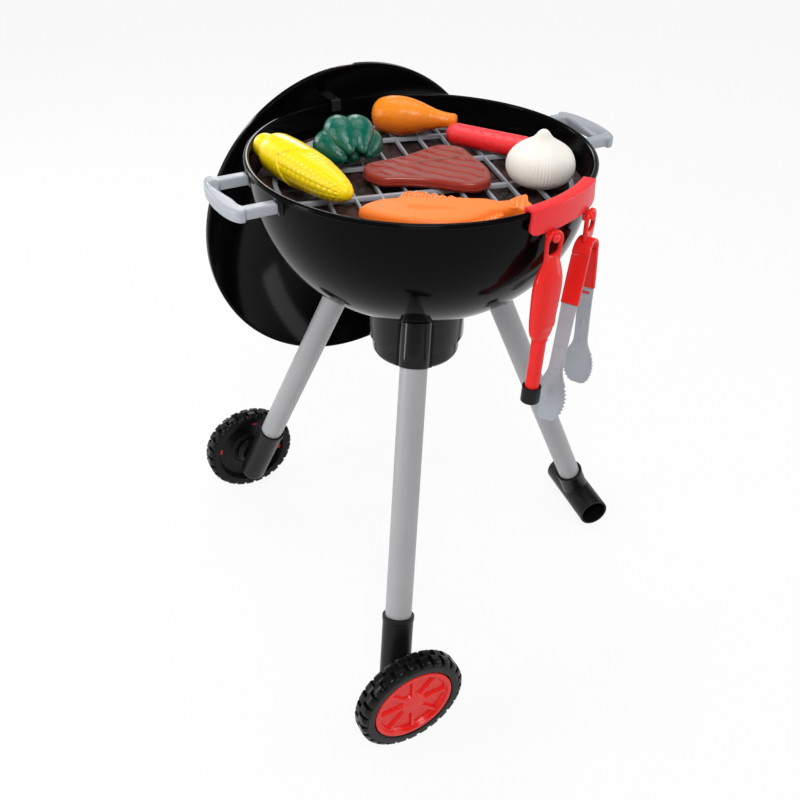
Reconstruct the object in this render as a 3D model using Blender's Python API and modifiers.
"""Toy kettle barbecue grill on three legs, with its lid, tools and play food.

Metres, +Z up. -Y is the front, where the tools hang; the lid hangs behind the bowl on
+Y; the side handles are on X. The grill is modelled round the bowl's axis, and at the
end it is moved so that the origin is on the floor, in the middle of its outline.
"""

import math

import bmesh
import bpy
from mathutils import Matrix, Vector

# Clearance between pieces that touch, and between pieces that slide on each other
GAP = 0.0003
SLIDE_GAP = 0.0006

# Bowl: a turned kettle with a rolled rim and an inner ledge for the coal tray
RIM_HEIGHT = 0.575
RIM_RADIUS = 0.1775
RIM_INNER_RADIUS = 0.172
RIM_BEAD_HEIGHT = 0.0045
RIM_ROUND = 0.0014
BOWL_RADIUS = 0.1745
BOWL_SHOULDER_HEIGHT = RIM_HEIGHT - RIM_BEAD_HEIGHT - RIM_ROUND
BOWL_DEPTH = 0.1595
BOWL_BOTTOM_HEIGHT = BOWL_SHOULDER_HEIGHT - BOWL_DEPTH
BOWL_EXPONENT = 2.26
BOWL_WALL = 0.0025
BOWL_RINGS = 9
BOWL_SEGMENTS = 48
LEDGE_DROP = 0.0395
LEDGE_HEIGHT = RIM_HEIGHT - LEDGE_DROP
LEDGE_WIDTH = 0.0032
LEDGE_DEPTH = 0.015

# Coal tray and cooking grate
TRAY_THICKNESS = 0.0052
TRAY_LIP = 0.0018
GRATE_THICKNESS = 0.0057
GRATE_TOP = LEDGE_HEIGHT + GAP + TRAY_THICKNESS + GAP + GRATE_THICKNESS
GRATE_RADIUS = 0.1535
GRATE_RING_WIDTH = 0.005
GRATE_TURN = -13.3
GRATE_SHIFT = 0.003
GRATE_CROSS_BARS = 4
GRATE_CROSS_PITCH = 0.074
GRATE_CROSS_WIDTH = 0.0062
GRATE_FINE_BARS = 9
GRATE_FINE_PITCH = 0.0265
GRATE_FINE_WIDTH = 0.0038

# Drum under the bowl, in two tiers
DRUM_COLLAR_RADIUS = 0.0545
DRUM_CUP_RADIUS = 0.0498
DRUM_COLLAR_DEPTH = 0.0476
DRUM_CUP_DEPTH = 0.0250
DRUM_ROUND = 0.008
DRUM_TOP_RISE = 0.0204
DRUM_SPLIT_HEIGHT = BOWL_BOTTOM_HEIGHT - DRUM_COLLAR_DEPTH
DRUM_BOTTOM_HEIGHT = DRUM_SPLIT_HEIGHT - DRUM_CUP_DEPTH
DRUM_TOP_HEIGHT = BOWL_BOTTOM_HEIGHT + DRUM_TOP_RISE

# Legs: each axis runs from a point under the bowl to a point near the floor
LEG_RADIUS = 0.0146
LEG_TOP_RISE = 0.0051
LEG_TOP_HEIGHT = BOWL_BOTTOM_HEIGHT + LEG_TOP_RISE
LEG_TOP_RADIUS = 0.0900
LEG_CUT_RISE = 0.0024
LEG_CUT_HEIGHT = BOWL_BOTTOM_HEIGHT + LEG_CUT_RISE
WHEEL_LEG_TOP_AZIMUTH = 120.0
WHEEL_LEG_FOOT_AZIMUTH = 123.0
WHEEL_LEG_FOOT_RADIUS = 0.2505
FOOT_LEG_TOP_AZIMUTH = -5.0
FOOT_LEG_FOOT_AZIMUTH = -4.1
FOOT_LEG_FOOT_RADIUS = 0.2693

# Leg sockets under the bowl
SOCKET_RADIUS = 0.0165
SOCKET_DROP = 0.0286
SOCKET_RISE = 0.0454
SOCKET_BOTTOM_HEIGHT = BOWL_BOTTOM_HEIGHT - SOCKET_DROP
SOCKET_TOP_HEIGHT = BOWL_BOTTOM_HEIGHT + SOCKET_RISE
SOCKET_FIN_WIDTH = 0.0373
SOCKET_FIN_THICKNESS = 0.0016

# Leg sleeves with the wheel axles
SLEEVE_RADIUS = 0.0170
SLEEVE_TOP_HEIGHT = 0.129
SLEEVE_FLOOR_HEIGHT = 0.084
SLEEVE_BOTTOM_HEIGHT = 0.038
SLEEVE_ROUND = 0.004
AXLE_RADIUS = 0.003
AXLE_DEPTH_IN_SLEEVE = 0.022
AXLE_CLEARANCE = 0.0004

# Wheels: stations across a wheel are measured from its inner side outwards
WHEEL_RADIUS = 0.0625
WHEEL_WIDTH = 0.024
WHEEL_OUTSET = 0.0459
WHEEL_OUTER_FACE = WHEEL_LEG_FOOT_RADIUS * math.sin(math.radians(WHEEL_LEG_FOOT_AZIMUTH)) + WHEEL_OUTSET
TYRE_SHOULDER = 0.0045
TYRE_LUGS = 26
TYRE_LUG_DEPTH = 0.0022
HUB_CAP_RADIUS = 0.0466
HUB_CAP_THICKNESS = 0.0070
HUB_CAP_RECESS = 0.0165
HUB_POCKETS = 8
HUB_POCKET_DEPTH = 0.0028
HUB_POCKET_INNER = 0.0150
HUB_POCKET_OUTER = 0.0410
HUB_SPOKE_WIDTH = 0.0052
HUB_BOSS_RADIUS = 0.020
HUB_BOSS_REACH = 0.0030
PUSH_NUT_RADIUS = 0.0060
PUSH_NUT_THICKNESS = 0.0016
PUSH_NUT_ROOM = 0.0080

# Tee foot on the third leg
TEE_RADIUS = 0.0203
TEE_BORE_RADIUS = 0.0176
TEE_LENGTH = 0.105
TEE_TURN = -9.3
TEE_SLEEVE_RADIUS = 0.0177
TEE_SLEEVE_TOP = 0.064
TEE_LEG_END = 0.046

# Side handles
HANDLE_ARM_SPACING = 0.037
HANDLE_ARM_WIDTH = 0.0125
HANDLE_ROOT = 0.1785
HANDLE_GRIP_INNER = 0.205
HANDLE_GRIP_OUTER = 0.2215
HANDLE_GRIP_CORNER = 0.2080
HANDLE_GRIP_HALF_LENGTH = 0.0460
HANDLE_DROP = 0.0070
HANDLE_TOP = RIM_HEIGHT - HANDLE_DROP
HANDLE_THICKNESS = 0.0120
HANDLE_ARC_STEPS = 10
HANDLE_BEVEL = 0.0012
BOSS_WIDTH = 0.0165
BOSS_HEIGHT = 0.0200
BOSS_START = 0.1600

# Lid, hanging behind the bowl with its mouth towards the bowl
LID_RADIUS = 0.1887
LID_DROP = 0.1516
LID_CENTRE = (0.0087, 0.1800, RIM_HEIGHT - LID_DROP)
LID_TURN = 1.4
LID_TILT = 2.7
LID_WALL = 0.0024
LID_LIP_DEPTH = 0.008
LID_CAP_RADIUS = 0.1840
LID_CAP_DEPTH = 0.078
LID_RINGS = 7
LID_HANDLE_LENGTH = 0.088
LID_HANDLE_REACH = 0.030
LID_HANDLE_BAR = 0.010
LID_HANDLE_DEPTH = 0.014
LID_HANDLE_BEVEL = 0.0015
HOOK_X = -0.0157
HOOK_WIDTH = 0.011
HOOK_THICKNESS = 0.003
HOOK_TONGUE_LENGTH = 0.014
HOOK_STEM_HEIGHT = 0.005
HOOK_CLEARANCE = 0.0024

# Tool rack clipped over the rim
RACK_START_AZIMUTH = 272.5
RACK_END_AZIMUTH = 306.0
RACK_STEPS = 10
RACK_WALL = 0.0026
RACK_DROP = 0.0250
RACK_LIP_DROP = 0.0090
RACK_BOTTOM = RIM_HEIGHT - RACK_DROP
RACK_LIP_BOTTOM = RIM_HEIGHT - RACK_LIP_DROP
RACK_FLARE = 0.0012
RACK_LIP_CLEARANCE = 0.0014
PEG_DROP = 0.0270
PEG_HEIGHT = RIM_HEIGHT - PEG_DROP
PEG_RADIUS = 0.0035
PEG_END_RADIUS = 0.1900
PEG_TIP_RADIUS = 0.0045
PEG_TIP_LENGTH = 0.0018
PEG_TAB_WIDTH = 0.012
PEG_TAB_DROP = 0.0055
LIGHTER_AZIMUTH = 281.5
LIGHTER_LEAN = 2.5
TONGS_AZIMUTH = 301.0
TOOL_PLANE_RADIUS = 0.1851

# Lighter: heights are below its peg
LOOP_THICKNESS = 0.0044
LOOP_TOP_WALL = 0.0035
LOOP_SIDE_WALL = 0.0050
LOOP_HALF_WIDTH = 0.0115
LOOP_HOLE_HEIGHT = 0.0150
LIGHTER_GRIP_TOP = 0.014
LIGHTER_GRIP_BOTTOM = 0.105
LIGHTER_GRIP_HALF_WIDTH = 0.0172
LIGHTER_GRIP_THICKNESS = 0.0178
LIGHTER_GRIP_BEVEL = 0.004
LIGHTER_BARREL_RADIUS = 0.0073
LIGHTER_BARREL_END = 0.165
LIGHTER_CAP_RADIUS = 0.0097
LIGHTER_CAP_TOP = 0.160
LIGHTER_CAP_BOTTOM = 0.178
TRIGGER_TOP = 0.082
TRIGGER_BOTTOM = 0.098
TRIGGER_WIDTH = 0.0070
TRIGGER_DEPTH = 0.0070
TRIGGER_PROUD = 0.0030

# Tongs: heights are below their peg
CROWN_RADIUS = 0.0138
CROWN_THICKNESS = 0.0040
CROWN_WIDTH = 0.018
CROWN_CENTRE_DROP = 0.0358
CROWN_STEPS = 12
GRIP_SPLAY = 11.0
ARM_SPLAY = 7.6
GRIP_PLATE_LENGTH = 0.048
ARM_LENGTH = 0.128
ARM_WIDTH = 0.0165
ARM_THICKNESS = 0.0030
SPOON_LENGTH = 0.075
SPOON_HALF_WIDTH = 0.0155
SPOON_STEPS = 9

# Play food, lying on the grate: places are (x, y)
CORN_STEM = (-0.1325, 0.0965)
CORN_TIP = (-0.1077, -0.0593)
CORN_RADIUS = 0.0216
PEPPER_CENTRE = (-0.0522, 0.0606)
PEPPER_HALF_SIZES = (0.0375, 0.0280, 0.0255)
PEPPER_TURN = -24.0
PEPPER_LOBES = 4
PEPPER_CREASE = 0.16
DRUMSTICK_FAT_END = (0.0160, 0.1400)
DRUMSTICK_THIN_END = (0.0870, 0.0740)
DRUMSTICK_RADIUS = 0.0195
SAUSAGE_START = (0.0745, 0.0620)
SAUSAGE_END = (0.1275, -0.0200)
SAUSAGE_RADIUS = 0.0112
GARLIC_CENTRE = (0.0965, -0.0725)
GARLIC_RADIUS = 0.0345
GARLIC_HEIGHT = 0.0560
STEAK_THICKNESS = 0.0155
STEAK_OUTLINE = ((-0.062, -0.004), (-0.054, 0.022), (-0.022, 0.021), (0.004, 0.024), (0.022, 0.033),
                 (0.040, 0.035), (0.060, 0.019), (0.057, -0.008), (0.047, -0.042), (0.032, -0.070),
                 (0.018, -0.076), (-0.002, -0.060), (-0.028, -0.036), (-0.052, -0.020))
FISH_THICKNESS = 0.0145
FISH_OUTLINE = ((-0.108, -0.082), (-0.100, -0.069), (-0.075, -0.062), (-0.050, -0.066), (-0.026, -0.077),
                (-0.002, -0.097), (0.020, -0.117), (0.034, -0.117), (0.050, -0.112), (0.043, -0.127),
                (0.032, -0.149), (0.018, -0.142), (0.006, -0.134), (-0.004, -0.146), (-0.030, -0.143),
                (-0.056, -0.131), (-0.082, -0.115), (-0.100, -0.100))
FOOD_BEVEL = 0.0040

ROUND = 2 * math.pi
PIECE_SEGMENTS = 24
SMOOTH_ANGLE = math.radians(35)
UPRIGHT = Matrix.Rotation(math.radians(90), 4, "X")

BLACK_GLOSS = (0.012, 0.012, 0.014)
BLACK_SATIN = (0.020, 0.020, 0.021)
LEG_GREY = (0.36, 0.36, 0.38)
SILVER_GREY = (0.47, 0.49, 0.52)
TOOL_RED = (0.82, 0.035, 0.035)
RACK_RED = (0.85, 0.080, 0.095)
COAL_BROWN = (0.035, 0.020, 0.018)
STEEL = (0.60, 0.60, 0.62)


def clear_scene():
    """Remove every object of the open file."""
    for piece in list(bpy.data.objects):
        bpy.data.objects.remove(piece, do_unlink=True)


def new_collection(name):
    """Make a collection in the scene."""
    made = bpy.data.collections.new(name)
    bpy.context.scene.collection.children.link(made)
    return made


def new_material(name, colour, roughness, metallic=0.0):
    """Make a Principled material of one colour."""
    material = bpy.data.materials.new(name)
    material.use_nodes = True
    shader = material.node_tree.nodes["Principled BSDF"]
    shader.inputs["Base Color"].default_value = (*colour, 1)
    shader.inputs["Roughness"].default_value = roughness
    shader.inputs["Metallic"].default_value = metallic
    return material


clear_scene()
PARTS = new_collection("toy_barbecue_grill")
CUTTERS = new_collection("cutters")
GLOSS = new_material("gloss_black", BLACK_GLOSS, 0.18)
SATIN = new_material("satin_black", BLACK_SATIN, 0.40)
TUBE = new_material("leg_grey", LEG_GREY, 0.45)
SILVER = new_material("silver_grey", SILVER_GREY, 0.38)
RED = new_material("tool_red", TOOL_RED, 0.30)
PINK_RED = new_material("rack_red", RACK_RED, 0.30)
COAL = new_material("coal_brown", COAL_BROWN, 0.60)
METAL = new_material("steel", STEEL, 0.25, 1.0)


def polar(radius, azimuth, height=0):
    """Point at a radius and an azimuth in degrees, seen from above."""
    angle = math.radians(azimuth)
    return Vector((radius * math.cos(angle), radius * math.sin(angle), height))


def along(start, end, height):
    """Point of a leg's axis at a height."""
    return start.lerp(end, (start.z - height) / (start.z - end.z))


def axis_matrix(start, end):
    """Placement at start with local Z towards end."""
    turn = (end - start).to_track_quat("Z", "Y").to_matrix().to_4x4()
    return Matrix.Translation(start) @ turn


def shade(mesh):
    """Shade a mesh smooth, with its true edges sharp."""
    mesh.shade_smooth()
    mesh.set_sharp_from_angle(angle=SMOOTH_ANGLE)


def add_piece(name, mesh, material, matrix=Matrix(), body=None):
    """Put a mesh in the object's collection, in its body's frame where it has one."""
    piece = bpy.data.objects.new(name, mesh)
    mesh.materials.append(material)
    shade(mesh)
    PARTS.objects.link(piece)
    piece.parent = body
    piece.matrix_local = matrix
    return piece


def add_cutter(name, mesh, matrix=Matrix(), body=None):
    """Put a mesh among the cutters."""
    cutter = bpy.data.objects.new(name, mesh)
    CUTTERS.objects.link(cutter)
    cutter.parent = body
    cutter.matrix_local = matrix
    cutter.hide_render = True
    cutter.display_type = "WIRE"
    return cutter


def body_frame(name, matrix, parent=None):
    """Empty on a joint's axis, which carries the pieces that move with the joint."""
    frame = bpy.data.objects.new(name, None)
    PARTS.objects.link(frame)
    frame.parent = parent
    frame.matrix_local = matrix
    return frame


def combine(piece, tool, operation):
    """Join, cut or trim a piece with a cutter."""
    modifier = piece.modifiers.new(tool.name, "BOOLEAN")
    modifier.operation = operation
    modifier.object = tool
    modifier.solver = "EXACT"


def mesh_from(name, bm):
    """Turn a working mesh into mesh data."""
    bmesh.ops.recalc_face_normals(bm, faces=bm.faces)
    mesh = bpy.data.meshes.new(name)
    bm.to_mesh(mesh)
    bm.free()
    return mesh


def cylinder(name, radius, start, end, segments=PIECE_SEGMENTS):
    """Mesh of a rod on local Z, from station start to station end."""
    bm = bmesh.new()
    bmesh.ops.create_cone(bm, cap_ends=True, segments=segments, radius1=radius, radius2=radius,
                          depth=end - start, matrix=Matrix.Translation((0, 0, (start + end) / 2)))
    return mesh_from(name, bm)


def boxes(name, sizes_and_centres):
    """Mesh of separate boxes, each given by its size and its centre."""
    bm = bmesh.new()
    for size, centre in sizes_and_centres:
        placed = Matrix.Translation(centre) @ Matrix.Diagonal((*size, 1))
        bmesh.ops.create_cube(bm, size=1, matrix=placed)
    return mesh_from(name, bm)


def profile_mesh(name, points, closed):
    """Mesh of a profile in the XZ plane, its points given as (radius, height)."""
    mesh = bpy.data.meshes.new(name)
    count = len(points)
    edges = [(i, (i + 1) % count) for i in range(count if closed else count - 1)]
    mesh.from_pydata([(radius, 0, height) for radius, height in points], edges, [])
    return mesh


def turn_profile(piece, segments):
    """Turn a profile into a solid round local Z."""
    screw = piece.modifiers.new("turn", "SCREW")
    screw.angle = ROUND
    screw.steps = segments
    screw.render_steps = segments
    screw.use_merge_vertices = True
    screw.merge_threshold = 0.00001
    screw.use_smooth_shade = True


def turned(name, points, material, matrix=Matrix(), body=None, segments=PIECE_SEGMENTS, closed=False):
    """Turned piece from a profile that runs down its outer side."""
    piece = add_piece(name, profile_mesh(name, points, closed), material, matrix, body)
    turn_profile(piece, segments)
    return piece


def turned_cutter(name, points, matrix=Matrix(), body=None, segments=PIECE_SEGMENTS, closed=False):
    """Turned cutter from a profile that runs down its outer side."""
    cutter = add_cutter(name, profile_mesh(name, points, closed), matrix, body)
    turn_profile(cutter, segments)
    return cutter


def arc(radius_x, radius_y, centre, start, end, steps):
    """Points on an elliptic arc between two angles in degrees."""
    angles = [math.radians(start + (end - start) * i / steps) for i in range(steps + 1)]
    return [(centre[0] + radius_x * math.cos(a), centre[1] + radius_y * math.sin(a)) for a in angles]


def plate_mesh(name, loops, thickness):
    """Mesh of a flat outline with its holes, extruded evenly about the XY plane."""
    outline = bpy.data.curves.new(name, "CURVE")
    outline.dimensions = "2D"
    outline.fill_mode = "BOTH"
    outline.extrude = thickness / 2
    for loop in loops:
        spline = outline.splines.new("POLY")
        spline.points.add(len(loop) - 1)
        for point, (x, y) in zip(spline.points, loop):
            point.co = (x, y, 0, 1)
        spline.use_cyclic_u = True
    guide = add_cutter(name + "_outline", outline)
    bpy.context.view_layer.update()
    mesh = bpy.data.meshes.new_from_object(guide.evaluated_get(bpy.context.evaluated_depsgraph_get()))
    bpy.data.objects.remove(guide)
    bm = bmesh.new()
    bm.from_mesh(mesh)
    bmesh.ops.remove_doubles(bm, verts=bm.verts, dist=GAP / 10)
    bmesh.ops.dissolve_limit(bm, angle_limit=math.radians(1), verts=bm.verts, edges=bm.edges)
    return mesh_from(name, bm)


def bevel(piece, width, segments=1):
    """Round a piece's sharp edges."""
    modifier = piece.modifiers.new("round", "BEVEL")
    modifier.width = width
    modifier.segments = segments
    modifier.limit_method = "ANGLE"
    modifier.use_clamp_overlap = True


def sector_mesh(name, section, start_azimuth, end_azimuth, steps):
    """Mesh of a section, its points given as (radius, height), swept round Z between two azimuths."""
    bm = bmesh.new()
    first = [bm.verts.new((*polar(radius, start_azimuth).xy, height)) for radius, height in section]
    face = bm.faces.new(first)
    bmesh.ops.spin(bm, geom=[face, *face.edges, *face.verts], cent=(0, 0, 0), axis=(0, 0, 1),
                   angle=math.radians(end_azimuth - start_azimuth), steps=steps)
    return mesh_from(name, bm)


def bowl_radius(height, inset=0.0):
    """Outer radius of the bowl at a height, drawn in by an inset."""
    drop = max(0.0, BOWL_SHOULDER_HEIGHT - height) / (BOWL_DEPTH - inset)
    return (BOWL_RADIUS - inset) * max(0.0, 1 - drop ** BOWL_EXPONENT) ** (1 / BOWL_EXPONENT)


def bowl_curve(inset, top):
    """Points down the bowl's curve from a height to the axis, evenly spread round the curve."""
    depth = BOWL_DEPTH - inset
    start = math.asin(min(1.0, (BOWL_SHOULDER_HEIGHT - top) / depth))
    points = []
    for ring in range(BOWL_RINGS + 1):
        angle = start + (math.pi / 2 - start) * ring / BOWL_RINGS
        height = BOWL_SHOULDER_HEIGHT - depth * math.sin(angle)
        points.append((bowl_radius(height, inset) if ring < BOWL_RINGS else 0, height))
    return points


def bowl_outside(offset):
    """Cutter of the bowl's outer shape, swollen by an offset, for pieces fitted against it."""
    top = (BOWL_RADIUS + offset, RIM_HEIGHT - RIM_BEAD_HEIGHT - RIM_ROUND)
    points = [(0, top[1]), top, *bowl_curve(-offset, BOWL_SHOULDER_HEIGHT)]
    return turned_cutter("bowl_outside", points, segments=BOWL_SEGMENTS)


def make_bowl():
    """The bowl, with its rolled rim and the ledge inside it."""
    ledge_bottom = LEDGE_HEIGHT - LEDGE_DEPTH
    bead_bottom = RIM_HEIGHT - RIM_BEAD_HEIGHT
    rim = [(RIM_RADIUS - RIM_ROUND, RIM_HEIGHT), (RIM_RADIUS, RIM_HEIGHT - RIM_ROUND),
           (RIM_RADIUS, bead_bottom)]
    outside = bowl_curve(0, BOWL_SHOULDER_HEIGHT)
    inside = list(reversed(bowl_curve(BOWL_WALL, ledge_bottom)))
    ledge_outer = bowl_radius(LEDGE_HEIGHT) - BOWL_WALL
    ledge = [(ledge_outer - LEDGE_WIDTH, LEDGE_HEIGHT), (ledge_outer, LEDGE_HEIGHT)]
    points = inside + ledge + [(RIM_INNER_RADIUS, RIM_HEIGHT)] + rim + outside
    turned("bowl", points, GLOSS, segments=BOWL_SEGMENTS)


def make_coal_tray():
    """The moulded coal bed, a shallow disc that rests on the ledge."""
    bottom = LEDGE_HEIGHT + GAP
    top = bottom + TRAY_THICKNESS
    radius = bowl_radius(LEDGE_HEIGHT) - BOWL_WALL - SLIDE_GAP
    points = [(0, top), (radius - TRAY_LIP, top), (radius, top - TRAY_LIP), (radius, bottom), (0, bottom)]
    turned("coal_tray", points, COAL, segments=BOWL_SEGMENTS)
    return top


def bar_offsets(count, pitch):
    """Places of evenly spaced bars on both sides of the middle."""
    return [(i - (count - 1) / 2) * pitch for i in range(count)]


def make_grate(tray_top):
    """The cooking grate: a ring with fine bars one way and wider cross bars the other."""
    bottom = tray_top + GAP
    turn = Matrix.Rotation(math.radians(GRATE_TURN), 4, "Z")
    placed = turn @ Matrix.Translation((GRATE_SHIFT, 0, 0))
    disc = cylinder("cooking_grate", GRATE_RADIUS, bottom, GRATE_TOP, BOWL_SEGMENTS)
    grate = add_piece("cooking_grate", disc, SILVER, placed)
    reach = 2 * GRATE_RADIUS
    edges_x = [-reach, *bar_offsets(GRATE_FINE_BARS, GRATE_FINE_PITCH), reach]
    edges_y = [-reach, *bar_offsets(GRATE_CROSS_BARS, GRATE_CROSS_PITCH), reach]
    height = GRATE_TOP - bottom
    middle = (GRATE_TOP + bottom) / 2
    cells = []
    for x_low, x_high in zip(edges_x, edges_x[1:]):
        for y_low, y_high in zip(edges_y, edges_y[1:]):
            size = (x_high - x_low - GRATE_FINE_WIDTH, y_high - y_low - GRATE_CROSS_WIDTH, 2 * height)
            cells.append((size, ((x_low + x_high) / 2, (y_low + y_high) / 2, middle)))
    openings = add_cutter("grate_openings", boxes("grate_openings", cells), placed)
    inner = cylinder("grate_inside", GRATE_RADIUS - GRATE_RING_WIDTH, bottom - height, GRATE_TOP + height,
                     BOWL_SEGMENTS)
    combine(openings, add_cutter("grate_inside", inner, placed), "INTERSECT")
    combine(grate, openings, "DIFFERENCE")


def make_drum(bowl_tool):
    """The round drum under the bowl: a collar against the bowl and a smaller cup below it."""
    collar_points = [(0, DRUM_TOP_HEIGHT), (DRUM_COLLAR_RADIUS, DRUM_TOP_HEIGHT),
                     (DRUM_COLLAR_RADIUS, DRUM_SPLIT_HEIGHT), (0, DRUM_SPLIT_HEIGHT)]
    collar = turned("drum_collar", collar_points, GLOSS, segments=BOWL_SEGMENTS // 2)
    combine(collar, bowl_tool, "DIFFERENCE")
    top = DRUM_SPLIT_HEIGHT - GAP
    corner = arc(DRUM_ROUND, DRUM_ROUND, (DRUM_CUP_RADIUS - DRUM_ROUND, DRUM_BOTTOM_HEIGHT + DRUM_ROUND),
                 0, -90, 3)
    turned("drum_cup", [(0, top), (DRUM_CUP_RADIUS, top), *corner, (0, DRUM_BOTTOM_HEIGHT)], GLOSS,
           segments=BOWL_SEGMENTS // 2)


def make_socket(name, top, foot, bowl_tool):
    """A glossy socket with two side fins, fitted to the bowl, which takes a leg from below."""
    start = along(top, foot, SOCKET_BOTTOM_HEIGHT)
    end = along(top, foot, SOCKET_TOP_HEIGHT)
    matrix = axis_matrix(start, end)
    length = (end - start).length
    socket = add_piece(name, cylinder(name, SOCKET_RADIUS, 0, length), GLOSS, matrix)
    outward = Vector((start.x, start.y, 0)).normalized()
    across = matrix.to_3x3().inverted() @ Vector((0, 0, 1)).cross(outward)
    fin_turn = Matrix.Rotation(math.atan2(across.y, across.x), 4, "Z")
    fin_size = (SOCKET_FIN_WIDTH, SOCKET_FIN_THICKNESS, length - GAP)
    fins = add_cutter(name + "_fins", boxes(name + "_fins", [(fin_size, (0, 0, length / 2))]),
                      matrix @ fin_turn)
    combine(socket, fins, "UNION")
    combine(socket, bowl_tool, "DIFFERENCE")
    leg_end = (along(top, foot, LEG_CUT_HEIGHT) - start).length + GAP
    bore = cylinder(name + "_bore", LEG_RADIUS + GAP, -SOCKET_RADIUS, leg_end)
    combine(socket, add_cutter(name + "_bore", bore, matrix), "DIFFERENCE")


def make_leg(name, top, foot, end_height):
    """A straight leg tube between its socket and its lower fitting."""
    start = along(top, foot, end_height)
    end = along(top, foot, LEG_CUT_HEIGHT)
    add_piece(name, cylinder(name, LEG_RADIUS, 0, (end - start).length), TUBE, axis_matrix(start, end))


def make_wheel_sleeve(name, top, foot, side):
    """A sleeve pushed over a leg's lower end, with a blind hole for the axle on its outer side."""
    start = along(top, foot, SLEEVE_BOTTOM_HEIGHT)
    end = along(top, foot, SLEEVE_TOP_HEIGHT)
    matrix = axis_matrix(start, end)
    floor = (along(top, foot, SLEEVE_FLOOR_HEIGHT) - start).length
    length = (end - start).length
    bore = LEG_RADIUS + GAP
    bottom = arc(SLEEVE_ROUND, SLEEVE_ROUND, (SLEEVE_RADIUS - SLEEVE_ROUND, SLEEVE_ROUND), 0, -90, 3)
    points = [(0, floor), (bore, floor), (bore, length), (SLEEVE_RADIUS, length), *bottom, (0, 0)]
    sleeve = turned(name, points, SATIN, matrix)
    outward = Vector((0, side, 0))
    hole_start = axle_start(top, foot, side) - GAP * outward
    hole = cylinder(name + "_hole", AXLE_RADIUS + GAP, 0, SLEEVE_RADIUS * 3, PIECE_SEGMENTS // 2)
    tool = add_cutter(name + "_hole", hole, axis_matrix(hole_start, hole_start + outward))
    combine(sleeve, tool, "DIFFERENCE")
    flat = WHEEL_OUTER_FACE - WHEEL_WIDTH - HUB_BOSS_REACH - SLIDE_GAP
    flat_size = (SLEEVE_TOP_HEIGHT, SLEEVE_RADIUS, SLEEVE_TOP_HEIGHT)
    flat_centre = (foot.x, side * (flat + SLEEVE_RADIUS / 2), foot.z)
    beside = add_cutter(name + "_flat", boxes(name + "_flat", [(flat_size, flat_centre)]))
    combine(sleeve, beside, "DIFFERENCE")


def axle_start(top, foot, side):
    """Inner end of an axle, inside its sleeve."""
    centre = along(top, foot, WHEEL_RADIUS)
    tilt = (foot - top).normalized().y
    sleeve_side = SLEEVE_RADIUS / math.sqrt(1 - tilt * tilt)
    return centre + Vector((0, side * (sleeve_side - AXLE_DEPTH_IN_SLEEVE), 0))


def tyre_mesh(name, points):
    """Mesh of the wheel turned round Z, with the tread's shoulders cut into lugs."""
    steps = 2 * TYRE_LUGS
    bm = bmesh.new()
    ring = [bm.verts.new((radius, 0, station)) for radius, station in points]
    edges = [bm.edges.new((ring[i - 1], ring[i])) for i in range(len(ring))]
    bmesh.ops.spin(bm, geom=ring + edges, cent=(0, 0, 0), axis=(0, 0, 1), angle=ROUND, steps=steps,
                   use_merge=True)
    bmesh.ops.remove_doubles(bm, verts=bm.verts, dist=GAP / 10)
    tread = WHEEL_RADIUS - TYRE_LUG_DEPTH
    for vert in bm.verts:
        radius = vert.co.xy.length
        step = round(math.atan2(vert.co.y, vert.co.x) / ROUND * steps)
        if radius > tread and step % 2 == 0:
            vert.co.xy *= (radius - TYRE_LUG_DEPTH) / radius
    return mesh_from(name, bm)


def wheel_points():
    """Profile of a wheel: tyre, dished inner side, boss and bore, down the outside and back."""
    rim = HUB_CAP_RADIUS + SLIDE_GAP
    floor = HUB_CAP_RECESS - GAP
    bore = AXLE_RADIUS + AXLE_CLEARANCE
    dish = WHEEL_WIDTH / 2
    side = TYRE_SHOULDER / 2
    return [(rim + side, WHEEL_WIDTH - side / 2), (WHEEL_RADIUS - TYRE_SHOULDER, WHEEL_WIDTH),
            (WHEEL_RADIUS - side / 2, WHEEL_WIDTH - side), (WHEEL_RADIUS, WHEEL_WIDTH - TYRE_SHOULDER),
            (WHEEL_RADIUS, TYRE_SHOULDER), (WHEEL_RADIUS - side / 2, side),
            (WHEEL_RADIUS - TYRE_SHOULDER, 0), (rim, side / 2), (rim - TYRE_SHOULDER, dish - side),
            (HUB_BOSS_RADIUS + TYRE_SHOULDER, dish - side), (HUB_BOSS_RADIUS, side),
            (HUB_BOSS_RADIUS - TYRE_SHOULDER, -HUB_BOSS_REACH / 2), (bore * 2, -HUB_BOSS_REACH),
            (bore, -HUB_BOSS_REACH), (bore, floor), (rim, floor), (rim, WHEEL_WIDTH - side)]


def hub_pockets_mesh(name, low, high):
    """Mesh of the wedge pockets between the hub cap's spokes."""
    step = 360 / HUB_POCKETS
    bm = bmesh.new()
    for pocket in range(HUB_POCKETS):
        middle = pocket * step
        spokes = {r: math.degrees(HUB_SPOKE_WIDTH / 2 / r) for r in (HUB_POCKET_INNER, HUB_POCKET_OUTER)}
        inner = spokes[HUB_POCKET_INNER] - step / 2
        outer = spokes[HUB_POCKET_OUTER] - step / 2
        corners = [polar(HUB_POCKET_INNER, middle + inner, low), polar(HUB_POCKET_OUTER, middle + outer, low),
                   polar(HUB_POCKET_OUTER, middle, low), polar(HUB_POCKET_OUTER, middle - outer, low),
                   polar(HUB_POCKET_INNER, middle - inner, low)]
        face = bm.faces.new([bm.verts.new(corner) for corner in corners])
        grown = bmesh.ops.extrude_face_region(bm, geom=[face])
        raised = [item for item in grown["geom"] if isinstance(item, bmesh.types.BMVert)]
        bmesh.ops.translate(bm, verts=raised, vec=(0, 0, high - low))
    return mesh_from(name, bm)


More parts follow.
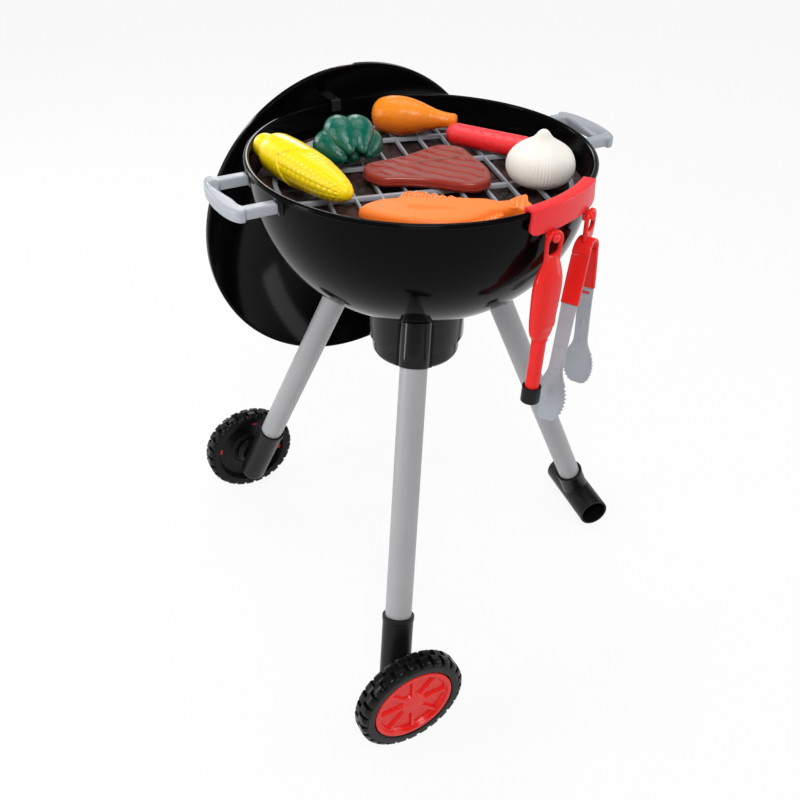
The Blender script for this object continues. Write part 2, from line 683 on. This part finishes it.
def make_wheel(label, side, top, foot):
    """A black wheel, its red hub cap, its axle in the leg sleeve and the push nut that holds it."""
    centre = along(top, foot, WHEEL_RADIUS)
    inner_face = Vector((centre.x, side * (WHEEL_OUTER_FACE - WHEEL_WIDTH), centre.z))
    frame = body_frame(label + "_wheel_axis", axis_matrix(inner_face, inner_face + Vector((0, side, 0))))
    add_piece(label + "_wheel", tyre_mesh(label + "_wheel", wheel_points()), SATIN, body=frame)
    cap_top = HUB_CAP_RECESS + HUB_CAP_THICKNESS
    face = cap_top - HUB_POCKET_DEPTH / 2
    room = HUB_CAP_RECESS + PUSH_NUT_THICKNESS + SLIDE_GAP * 2
    cap_points = [(0, face), (HUB_POCKET_OUTER, face), (HUB_POCKET_OUTER + GAP, cap_top),
                  (HUB_CAP_RADIUS - GAP, cap_top), (HUB_CAP_RADIUS, face), (HUB_CAP_RADIUS, HUB_CAP_RECESS),
                  (PUSH_NUT_ROOM, HUB_CAP_RECESS), (PUSH_NUT_ROOM, room), (0, room)]
    cap = turned(label + "_hub_cap", cap_points, RED, body=frame, segments=2 * PIECE_SEGMENTS)
    pockets = hub_pockets_mesh(label + "_hub_pockets", face - HUB_POCKET_DEPTH, cap_top)
    combine(cap, add_cutter(label + "_hub_pockets", pockets, body=frame), "DIFFERENCE")
    start = axle_start(top, foot, side)
    end = Vector((start.x, side * (WHEEL_OUTER_FACE - WHEEL_WIDTH + room - SLIDE_GAP), start.z))
    axle = cylinder(label + "_axle", AXLE_RADIUS, 0, (end - start).length, PIECE_SEGMENTS // 2)
    add_piece(label + "_axle", axle, METAL, axis_matrix(start, end))
    nut_bottom = HUB_CAP_RECESS
    nut_top = nut_bottom + PUSH_NUT_THICKNESS
    bore = AXLE_RADIUS + GAP
    nut_points = [(PUSH_NUT_RADIUS, nut_top), (PUSH_NUT_RADIUS, nut_bottom), (bore, nut_bottom), (bore, nut_top)]
    nut_place = axis_matrix(inner_face, inner_face + Vector((0, side, 0)))
    turned(label + "_push_nut", nut_points, METAL, nut_place, segments=PIECE_SEGMENTS // 2, closed=True)


def make_tee_foot(top, foot):
    """The tee that ends the third leg: an open tube lying on the floor under a short sleeve."""
    centre = along(top, foot, TEE_RADIUS)
    direction = Matrix.Rotation(math.radians(TEE_TURN), 3, "Z") @ Vector((0, 1, 0))
    start = centre - direction * TEE_LENGTH / 2
    matrix = axis_matrix(start, centre)
    tee = add_piece("tee_foot", cylinder("tee_foot", TEE_RADIUS, 0, TEE_LENGTH, 2 * PIECE_SEGMENTS), SATIN,
                    matrix)
    sleeve_end = along(top, foot, TEE_SLEEVE_TOP)
    length = (sleeve_end - centre).length
    sleeve = cylinder("tee_sleeve", TEE_SLEEVE_RADIUS, 0, length)
    combine(tee, add_cutter("tee_sleeve", sleeve, axis_matrix(centre, sleeve_end)), "UNION")
    bore = cylinder("tee_bore", TEE_BORE_RADIUS, -TEE_RADIUS, TEE_LENGTH + TEE_RADIUS, 2 * PIECE_SEGMENTS)
    combine(tee, add_cutter("tee_bore", bore, matrix), "DIFFERENCE")
    leg_end = along(top, foot, TEE_LEG_END)
    leg_bore = cylinder("tee_leg_bore", LEG_RADIUS + GAP, -GAP, length)
    combine(tee, add_cutter("tee_leg_bore", leg_bore, axis_matrix(leg_end, sleeve_end)), "DIFFERENCE")


def handle_loop(side):
    """Outline of a side handle: two arms and a bowed grip round a finger gap."""
    arm_out = HANDLE_ARM_SPACING + HANDLE_ARM_WIDTH / 2
    arm_in = HANDLE_ARM_SPACING - HANDLE_ARM_WIDTH / 2
    bow = HANDLE_GRIP_OUTER - HANDLE_GRIP_CORNER
    grip = arc(bow, HANDLE_GRIP_HALF_LENGTH, (HANDLE_GRIP_CORNER, 0), -90, 90, HANDLE_ARC_STEPS)
    outer = [(HANDLE_ROOT, -arm_out), (HANDLE_GRIP_INNER, -arm_out),
             (HANDLE_GRIP_INNER, -HANDLE_GRIP_HALF_LENGTH), *grip,
             (HANDLE_GRIP_INNER, HANDLE_GRIP_HALF_LENGTH), (HANDLE_GRIP_INNER, arm_out), (HANDLE_ROOT, arm_out)]
    inner = [(HANDLE_ROOT, arm_in), (HANDLE_GRIP_INNER, arm_in), (HANDLE_GRIP_INNER, -arm_in),
             (HANDLE_ROOT, -arm_in)]
    return [(side * x, side * y) for x, y in outer + inner]


def make_handle(label, side, bowl_tool):
    """A side handle and the two black bosses that carry it on the bowl's wall."""
    middle = HANDLE_TOP - HANDLE_THICKNESS / 2
    mesh = plate_mesh(label + "_handle", [handle_loop(side)], HANDLE_THICKNESS)
    handle = add_piece(label + "_handle", mesh, SILVER, Matrix.Translation((0, 0, middle)))
    bevel(handle, HANDLE_BEVEL)
    length = HANDLE_ROOT - GAP - BOSS_START
    for place, end in (("front", -1), ("back", 1)):
        name = label + "_handle_boss_" + place
        centre = (side * (BOSS_START + length / 2), end * HANDLE_ARM_SPACING, HANDLE_TOP - BOSS_HEIGHT / 2)
        boss = add_piece(name, boxes(name, [((length, BOSS_WIDTH, BOSS_HEIGHT), centre)]), GLOSS)
        combine(boss, bowl_tool, "DIFFERENCE")


def cap_curve(base, height, start, steps):
    """Points down a spherical cap from its top to its base, which is at the station start."""
    sphere = (base * base + height * height) / (2 * height)
    half_angle = math.asin(base / sphere)
    points = []
    for step in range(steps + 1):
        angle = half_angle * step / steps
        points.append((sphere * math.sin(angle), start + height - sphere * (1 - math.cos(angle))))
    return points


def lid_matrix():
    """Placement of the lid: local Z runs from its mouth to its top."""
    turn = Matrix.Rotation(math.radians(LID_TURN), 4, "Z") @ Matrix.Rotation(math.radians(LID_TILT), 4, "X")
    return Matrix.Translation(LID_CENTRE) @ turn @ Matrix.Rotation(math.radians(-90), 4, "X")


def make_lid():
    """The domed lid with its lip, its handle and the hook that hangs it on the rim."""
    place = lid_matrix()
    lip = LID_LIP_DEPTH
    inner_base = LID_CAP_RADIUS - LID_WALL
    outside = cap_curve(LID_CAP_RADIUS, LID_CAP_DEPTH, lip + LID_WALL, LID_RINGS)
    inside = list(reversed(cap_curve(inner_base, LID_CAP_DEPTH - LID_WALL, lip + LID_WALL, LID_RINGS)))
    edge = [(LID_RADIUS - LID_WALL / 2, lip + LID_WALL), (LID_RADIUS, lip), (LID_RADIUS, 0),
            (LID_RADIUS - LID_WALL, 0), (LID_RADIUS - LID_WALL, lip), (inner_base, lip)]
    turned("lid", outside + edge + inside, GLOSS, place, segments=BOWL_SEGMENTS)
    dome = [*cap_curve(LID_CAP_RADIUS + GAP, LID_CAP_DEPTH + GAP, lip + LID_WALL, LID_RINGS), (0, lip)]
    dome_tool = turned_cutter("lid_dome", dome, place, segments=BOWL_SEGMENTS)
    make_lid_handle(place, dome_tool)
    make_lid_hook(place)


def make_lid_handle(place, dome_tool):
    """The lid's arched handle, standing on the dome."""
    top = LID_LIP_DEPTH + LID_WALL + LID_CAP_DEPTH
    half = LID_HANDLE_LENGTH / 2
    shoulder = half - LID_HANDLE_BAR
    foot = top - LID_HANDLE_REACH / 2
    loop = [(-half, foot), (-half, top + LID_HANDLE_REACH / 2), (-shoulder, top + LID_HANDLE_REACH),
            (shoulder, top + LID_HANDLE_REACH), (half, top + LID_HANDLE_REACH / 2), (half, foot),
            (shoulder, foot), (shoulder, top + LID_HANDLE_REACH / 2),
            (shoulder - LID_HANDLE_BAR / 2, top + LID_HANDLE_REACH - LID_HANDLE_BAR),
            (LID_HANDLE_BAR / 2 - shoulder, top + LID_HANDLE_REACH - LID_HANDLE_BAR),
            (-shoulder, top + LID_HANDLE_REACH / 2), (-shoulder, foot)]
    mesh = plate_mesh("lid_handle", [loop], LID_HANDLE_DEPTH)
    handle = add_piece("lid_handle", mesh, SILVER, place @ UPRIGHT)
    bevel(handle, LID_HANDLE_BEVEL)
    combine(handle, dome_tool, "DIFFERENCE")


def make_lid_hook(place):
    """The black hook inside the lid: a stem out of the dome and a tongue inside the bowl's rim."""
    top = RIM_HEIGHT + GAP + HOOK_STEM_HEIGHT
    rim_back = math.sqrt(RIM_INNER_RADIUS ** 2 - HOOK_X ** 2)
    tongue_back = rim_back - HOOK_CLEARANCE
    tongue_front = tongue_back - HOOK_THICKNESS
    reach = LID_CENTRE[1] + LID_CAP_DEPTH
    tongue_bottom = RIM_HEIGHT - HOOK_TONGUE_LENGTH
    loop = [(tongue_front, tongue_bottom), (tongue_back, tongue_bottom), (tongue_back, RIM_HEIGHT + GAP),
            (reach, RIM_HEIGHT + GAP), (reach, top), (tongue_front, top)]
    stand = Matrix(((0, 0, 1, HOOK_X), (1, 0, 0, 0), (0, 1, 0, 0), (0, 0, 0, 1)))
    hook = add_piece("lid_hook", plate_mesh("lid_hook", [loop], HOOK_WIDTH), SATIN, stand)
    inner_base = LID_CAP_RADIUS - LID_WALL - GAP
    inner = cap_curve(inner_base, LID_CAP_DEPTH - LID_WALL - GAP, LID_LIP_DEPTH + LID_WALL, LID_RINGS)
    inside = [*inner, (inner_base, -LID_RADIUS), (0, -LID_RADIUS)]
    inside_tool = turned_cutter("lid_inside", inside, place, segments=BOWL_SEGMENTS)
    combine(hook, inside_tool, "INTERSECT")


def make_rack():
    """The tool rack: a skirt folded over the rim, with two pegs for the tools."""
    skirt_inner = RIM_RADIUS + SLIDE_GAP
    skirt_outer = skirt_inner + RACK_WALL
    lip_outer = RIM_INNER_RADIUS - RACK_LIP_CLEARANCE
    lip_inner = lip_outer - RACK_WALL
    over = RIM_HEIGHT + GAP
    top = over + RACK_WALL
    section = [(lip_inner, RACK_LIP_BOTTOM), (lip_outer, RACK_LIP_BOTTOM), (lip_outer, over),
               (skirt_inner, over), (skirt_inner, RACK_BOTTOM), (skirt_outer + RACK_FLARE, RACK_BOTTOM),
               (skirt_outer, top - RACK_WALL / 2), (skirt_outer - RACK_WALL / 2, top),
               (lip_inner + RACK_WALL / 2, top), (lip_inner, top - RACK_WALL / 2)]
    mesh = sector_mesh("tool_rack", section, RACK_START_AZIMUTH, RACK_END_AZIMUTH, RACK_STEPS)
    rack = add_piece("tool_rack", mesh, PINK_RED)
    for index, azimuth in enumerate((LIGHTER_AZIMUTH, TONGS_AZIMUTH)):
        frame = peg_matrix(azimuth)
        tab_inner = TOOL_PLANE_RADIUS - skirt_outer
        tab_size = (PEG_TAB_WIDTH, RACK_WALL, PEG_TAB_DROP + PEG_RADIUS)
        tab_centre = (0, tab_inner + RACK_WALL / 2 - GAP, (PEG_RADIUS - PEG_TAB_DROP) / 2)
        name = "rack_tab_" + str(index)
        combine(rack, add_cutter(name, boxes(name, [(tab_size, tab_centre)]), frame), "UNION")
        tip = PEG_END_RADIUS - TOOL_PLANE_RADIUS
        root = -tab_inner - RACK_WALL / 2
        points = [(0, tip), (PEG_TIP_RADIUS - GAP, tip), (PEG_TIP_RADIUS, tip - PEG_TIP_LENGTH / 2),
                  (PEG_RADIUS, tip - PEG_TIP_LENGTH), (PEG_RADIUS, root), (0, root)]
        peg = turned_cutter("rack_peg_" + str(index), points, frame @ UPRIGHT, segments=PIECE_SEGMENTS // 2)
        combine(rack, peg, "UNION")
    return rack


def peg_matrix(azimuth):
    """Frame of a tool on its peg: X round the rim, -Y outwards, Z up, at the tool's middle plane."""
    return Matrix.Translation(polar(TOOL_PLANE_RADIUS, azimuth, PEG_HEIGHT)) @ Matrix.Rotation(
        math.radians(azimuth + 90), 4, "Z")


def loop_outlines(bottom):
    """Outline and hole of a hanging loop, as (across, height) with the peg at the origin."""
    hole_half = LOOP_HALF_WIDTH - LOOP_SIDE_WALL
    hole_top = PEG_RADIUS + GAP
    crown = (0, hole_top - hole_half)
    outer_rise = hole_half + LOOP_TOP_WALL
    outer = [*arc(LOOP_HALF_WIDTH, outer_rise, crown, 0, 180, 8), (-LOOP_HALF_WIDTH, bottom),
             (LOOP_HALF_WIDTH, bottom)]
    low = (0, hole_top - LOOP_HOLE_HEIGHT + hole_half / 2)
    hole = [*arc(hole_half, hole_half, crown, 0, 180, 8), *arc(hole_half, hole_half / 2, low, 180, 360, 6)]
    return outer, hole


def lighter_grip_loop():
    """Outline of the lighter's bulged grip, as (across, height below the peg)."""
    height = LIGHTER_GRIP_BOTTOM - LIGHTER_GRIP_TOP
    width_shares = ((0.00, 0.50), (0.12, 0.78), (0.30, 1.00), (0.60, 0.97), (0.85, 0.80), (1.00, 0.50))
    right = [(share * LIGHTER_GRIP_HALF_WIDTH, -LIGHTER_GRIP_TOP - drop * height) for drop, share in width_shares]
    left = [(-x, z) for x, z in reversed(right)]
    return right + left


def make_lighter(body):
    """The toy lighter: grip with its hanging loop, barrel, end cap and trigger."""
    outer, hole = loop_outlines(-LIGHTER_GRIP_TOP - LIGHTER_GRIP_BEVEL * 2)
    grip = add_piece("lighter_grip", plate_mesh("lighter_grip", [lighter_grip_loop()], LIGHTER_GRIP_THICKNESS),
                     RED, UPRIGHT, body)
    bevel(grip, LIGHTER_GRIP_BEVEL, 2)
    loop = add_cutter("lighter_loop", plate_mesh("lighter_loop", [outer, hole], LOOP_THICKNESS), UPRIGHT, body)
    combine(grip, loop, "UNION")
    pocket_size = (TRIGGER_DEPTH + SLIDE_GAP + LIGHTER_GRIP_HALF_WIDTH, TRIGGER_WIDTH + SLIDE_GAP * 2,
                   TRIGGER_BOTTOM - TRIGGER_TOP + SLIDE_GAP * 2)
    edge = LIGHTER_GRIP_HALF_WIDTH * 0.85
    pocket_inner = edge - TRIGGER_DEPTH - TRIGGER_PROUD
    middle = -(TRIGGER_TOP + TRIGGER_BOTTOM) / 2
    pocket_centre = (pocket_inner + pocket_size[0] / 2, 0, middle)
    pocket = add_cutter("trigger_pocket", boxes("trigger_pocket", [(pocket_size, pocket_centre)]), body=body)
    combine(grip, pocket, "DIFFERENCE")
    trigger_size = (TRIGGER_DEPTH + TRIGGER_PROUD - SLIDE_GAP, TRIGGER_WIDTH, TRIGGER_BOTTOM - TRIGGER_TOP)
    trigger_centre = (pocket_inner + TRIGGER_PROUD + SLIDE_GAP + trigger_size[0] / 2, 0, middle)
    trigger = add_piece("lighter_trigger", boxes("lighter_trigger", [(trigger_size, trigger_centre)]), RED,
                        body=body)
    bevel(trigger, SLIDE_GAP)
    barrel = cylinder("lighter_barrel", LIGHTER_BARREL_RADIUS, -LIGHTER_BARREL_END, -LIGHTER_GRIP_BOTTOM - GAP)
    add_piece("lighter_barrel", barrel, RED, body=body)
    bore = LIGHTER_BARREL_RADIUS + GAP
    floor = -LIGHTER_BARREL_END - GAP
    cup = [(0, floor), (bore, floor), (bore, -LIGHTER_CAP_TOP), (LIGHTER_CAP_RADIUS, -LIGHTER_CAP_TOP),
           (LIGHTER_CAP_RADIUS, -LIGHTER_CAP_BOTTOM), (0, -LIGHTER_CAP_BOTTOM)]
    turned("lighter_cap", cup, SATIN, body=body)


def crown_end(side):
    """End of the tongs' crown on one side, where that arm flexes."""
    return Vector((side * (CROWN_RADIUS - CROWN_THICKNESS / 2), 0, -CROWN_CENTRE_DROP))


def plate_matrix(side, start, splay):
    """Placement of a tongs plate from its upper end: X across the plate, Y down along it."""
    angle = math.radians(splay) * side
    down = Vector((math.sin(angle), 0, -math.cos(angle)))
    across = Vector((0, 1, 0))
    turn = Matrix((across, down, across.cross(down))).transposed().to_4x4()
    return Matrix.Translation(start) @ turn


def arm_loop():
    """Outline of a grey tongs arm: a straight shank that widens to a spoon."""
    half = ARM_WIDTH / 2
    spoon_start = ARM_LENGTH - SPOON_LENGTH
    middle = spoon_start + SPOON_LENGTH / 2
    spoon = arc(SPOON_HALF_WIDTH, SPOON_LENGTH / 2, (0, middle), -60, 75, SPOON_STEPS)
    right = [(half, 0), (half, spoon_start), *spoon]
    return right + [(-x, y) for x, y in reversed(right)]


def make_tongs(body):
    """The tongs: a red sprung crown with its loop, and on each side a red grip and a grey arm."""
    centre = (0, -CROWN_CENTRE_DROP)
    inner = CROWN_RADIUS - CROWN_THICKNESS
    crown = [*arc(CROWN_RADIUS, CROWN_RADIUS, centre, 0, 180, CROWN_STEPS),
             *arc(inner, inner, centre, 180, 0, CROWN_STEPS)]
    head = add_piece("tongs_crown", plate_mesh("tongs_crown", [crown], CROWN_WIDTH), RED, UPRIGHT, body)
    outer, hole = loop_outlines(-CROWN_CENTRE_DROP + CROWN_RADIUS - CROWN_THICKNESS / 2)
    loop = add_cutter("tongs_loop", plate_mesh("tongs_loop", [outer, hole], LOOP_THICKNESS), UPRIGHT, body)
    combine(head, loop, "UNION")
    for side, label in ((-1, "left"), (1, "right")):
        arm_body = body_frame("tongs_flex_" + label, Matrix.Translation(crown_end(side)), body)
        name = "tongs_grip_" + label
        top = plate_matrix(side, Vector(), GRIP_SPLAY) @ Matrix.Translation((0, GAP * 3, 0))
        size = (CROWN_WIDTH, GRIP_PLATE_LENGTH, CROWN_THICKNESS)
        plate = boxes(name, [(size, (0, GRIP_PLATE_LENGTH / 2, 0))])
        add_piece(name, plate, RED, top, arm_body)
        name = "tongs_arm_" + label
        joint = top @ Vector((0, GRIP_PLATE_LENGTH + GAP * 2, 0))
        add_piece(name, plate_mesh(name, [arm_loop()], ARM_THICKNESS), SILVER,
                  plate_matrix(side, joint, ARM_SPLAY), arm_body)


def share_profile(shares, length, radius):
    """Profile from (share of length, share of radius) pairs, down from the far end."""
    return [(radius * r, length * s) for s, r in reversed(shares)]


def make_turned_food(name, start, end, radius, shares, material):
    """A round food lying on the grate, its radius following a table of shares along its length."""
    height = GRATE_TOP + GAP + radius
    place = axis_matrix(Vector((*start, height)), Vector((*end, height)))
    turned(name, share_profile(shares, math.dist(start, end), radius), material, place)


def make_corn():
    """The corn cob, with the stem at its far end."""
    shares = ((0.00, 0.00), (0.00, 0.36), (0.05, 0.40), (0.08, 0.66), (0.17, 0.97), (0.38, 1.00),
              (0.60, 0.96), (0.80, 0.76), (0.93, 0.46), (0.99, 0.20), (1.00, 0.00))
    yellow = new_material("corn_yellow", (0.95, 0.72, 0.01), 0.35)
    make_turned_food("corn", CORN_STEM, CORN_TIP, CORN_RADIUS, shares, yellow)


def make_drumstick():
    """The drumstick, thick at the back and with its bone end at the front."""
    shares = ((0.00, 0.00), (0.02, 0.45), (0.12, 0.86), (0.28, 1.00), (0.45, 0.90), (0.62, 0.58),
              (0.74, 0.42), (0.90, 0.40), (0.98, 0.30), (1.00, 0.00))
    orange = new_material("drumstick_orange", (0.88, 0.28, 0.03), 0.35)
    make_turned_food("drumstick", DRUMSTICK_FAT_END, DRUMSTICK_THIN_END, DRUMSTICK_RADIUS, shares, orange)


def make_sausage():
    """The sausage, a rod with round ends."""
    end_share = SAUSAGE_RADIUS / math.dist(SAUSAGE_START, SAUSAGE_END)
    near = [(end_share * (1 - math.cos(a)), math.sin(a)) for a in (0, math.pi / 6, math.pi / 3, math.pi / 2)]
    far = [(1 - length, radius) for length, radius in reversed(near)]
    red = new_material("sausage_red", (0.85, 0.05, 0.06), 0.35)
    make_turned_food("sausage", SAUSAGE_START, SAUSAGE_END, SAUSAGE_RADIUS, (*near, *far), red)


def make_flat_food(name, outline, thickness, material):
    """A flat food cut to an outline, with rounded edges."""
    place = Matrix.Translation((0, 0, GRATE_TOP + GAP + thickness / 2))
    piece = add_piece(name, plate_mesh(name, [outline], thickness), material, place)
    bevel(piece, FOOD_BEVEL, 2)


def make_pepper():
    """The pepper: a ball pressed into lobes with creases between them."""
    half_length, half_width, half_height = PEPPER_HALF_SIZES
    bm = bmesh.new()
    bmesh.ops.create_uvsphere(bm, u_segments=PIECE_SEGMENTS, v_segments=PIECE_SEGMENTS // 2, radius=1)
    for vert in bm.verts:
        angle = math.atan2(vert.co.y, vert.co.x)
        vert.co.xy *= 1 - PEPPER_CREASE * math.cos(PEPPER_LOBES * angle / 2) ** PEPPER_LOBES
    widest = max(abs(vert.co.x) for vert in bm.verts)
    tallest = max(abs(vert.co.y) for vert in bm.verts)
    size = Matrix.Diagonal((half_width / widest, half_height / tallest, half_length, 1))
    bmesh.ops.transform(bm, matrix=size, verts=bm.verts)
    centre = Vector((*PEPPER_CENTRE, GRATE_TOP + GAP + half_height))
    lie = Matrix(((0, 0, 1, 0), (1, 0, 0, 0), (0, 1, 0, 0), (0, 0, 0, 1)))
    place = Matrix.Translation(centre) @ Matrix.Rotation(math.radians(PEPPER_TURN), 4, "Z") @ lie
    green = new_material("pepper_green", (0.0, 0.14, 0.08), 0.25)
    add_piece("pepper", mesh_from("pepper", bm), green, place)


def make_garlic():
    """The garlic bulb, standing on the grate with its tip up."""
    shares = ((0.00, 0.00), (0.00, 0.40), (0.05, 0.66), (0.18, 0.90), (0.38, 1.00), (0.56, 0.90), (0.70, 0.62),
              (0.79, 0.34), (0.88, 0.26), (0.97, 0.17), (1.00, 0.00))
    white = new_material("garlic_white", (0.86, 0.83, 0.76), 0.45)
    place = Matrix.Translation((*GARLIC_CENTRE, GRATE_TOP + GAP))
    turned("garlic", share_profile(shares, GARLIC_HEIGHT, GARLIC_RADIUS), white, place)


def make_undercarriage(bowl_tool):
    """The three legs with their sockets, the two wheels and the tee foot."""
    for label, side in (("front", -1), ("rear", 1)):
        top = polar(LEG_TOP_RADIUS, side * WHEEL_LEG_TOP_AZIMUTH, LEG_TOP_HEIGHT)
        foot = polar(WHEEL_LEG_FOOT_RADIUS, side * WHEEL_LEG_FOOT_AZIMUTH, WHEEL_RADIUS)
        make_socket(label + "_leg_socket", top, foot, bowl_tool)
        make_leg(label + "_leg", top, foot, SLEEVE_FLOOR_HEIGHT + GAP)
        make_wheel_sleeve(label + "_leg_sleeve", top, foot, side)
        make_wheel(label, side, top, foot)
    top = polar(LEG_TOP_RADIUS, FOOT_LEG_TOP_AZIMUTH, LEG_TOP_HEIGHT)
    foot = polar(FOOT_LEG_FOOT_RADIUS, FOOT_LEG_FOOT_AZIMUTH, TEE_RADIUS)
    make_socket("right_leg_socket", top, foot, bowl_tool)
    make_leg("right_leg", top, foot, TEE_LEG_END)
    make_tee_foot(top, foot)


def make_tools():
    """The rack on the rim with the lighter and the tongs hanging from its pegs."""
    rack = make_rack()
    lean = Matrix.Rotation(math.radians(LIGHTER_LEAN), 4, "Y")
    make_lighter(body_frame("lighter_peg", peg_matrix(LIGHTER_AZIMUTH) @ lean, rack))
    make_tongs(body_frame("tongs_peg", peg_matrix(TONGS_AZIMUTH), rack))


def make_food():
    """The play food, each piece lying loose on the grate."""
    make_corn()
    make_pepper()
    make_drumstick()
    make_sausage()
    make_garlic()
    brown = new_material("steak_brown", (0.27, 0.045, 0.025), 0.40)
    make_flat_food("steak", STEAK_OUTLINE, STEAK_THICKNESS, brown)
    orange = new_material("fish_orange", (0.93, 0.25, 0.04), 0.40)
    make_flat_food("fish", FISH_OUTLINE, FISH_THICKNESS, orange)


def stand_on_origin():
    """Move the grill so that the middle of its outline on the floor is at the origin."""
    bpy.context.view_layer.update()
    graph = bpy.context.evaluated_depsgraph_get()
    corners = []
    for piece in PARTS.objects:
        if piece.type == "MESH":
            solid = piece.evaluated_get(graph)
            corners += [solid.matrix_world @ vert.co for vert in solid.data.vertices]
    middle = Vector((0, 0, min(corner.z for corner in corners)))
    for axis in (0, 1):
        places = [corner[axis] for corner in corners]
        middle[axis] = (min(places) + max(places)) / 2
    for placed in [*PARTS.objects, *CUTTERS.objects]:
        if placed.parent is None:
            placed.location -= middle


def main():
    """Build the grill from the bowl outwards."""
    make_bowl()
    bowl_tool = bowl_outside(GAP)
    make_drum(bowl_tool)
    make_undercarriage(bowl_tool)
    make_handle("right", 1, bowl_tool)
    make_handle("left", -1, bowl_tool)
    make_grate(make_coal_tray())
    make_food()
    make_tools()
    make_lid()
    stand_on_origin()


main()
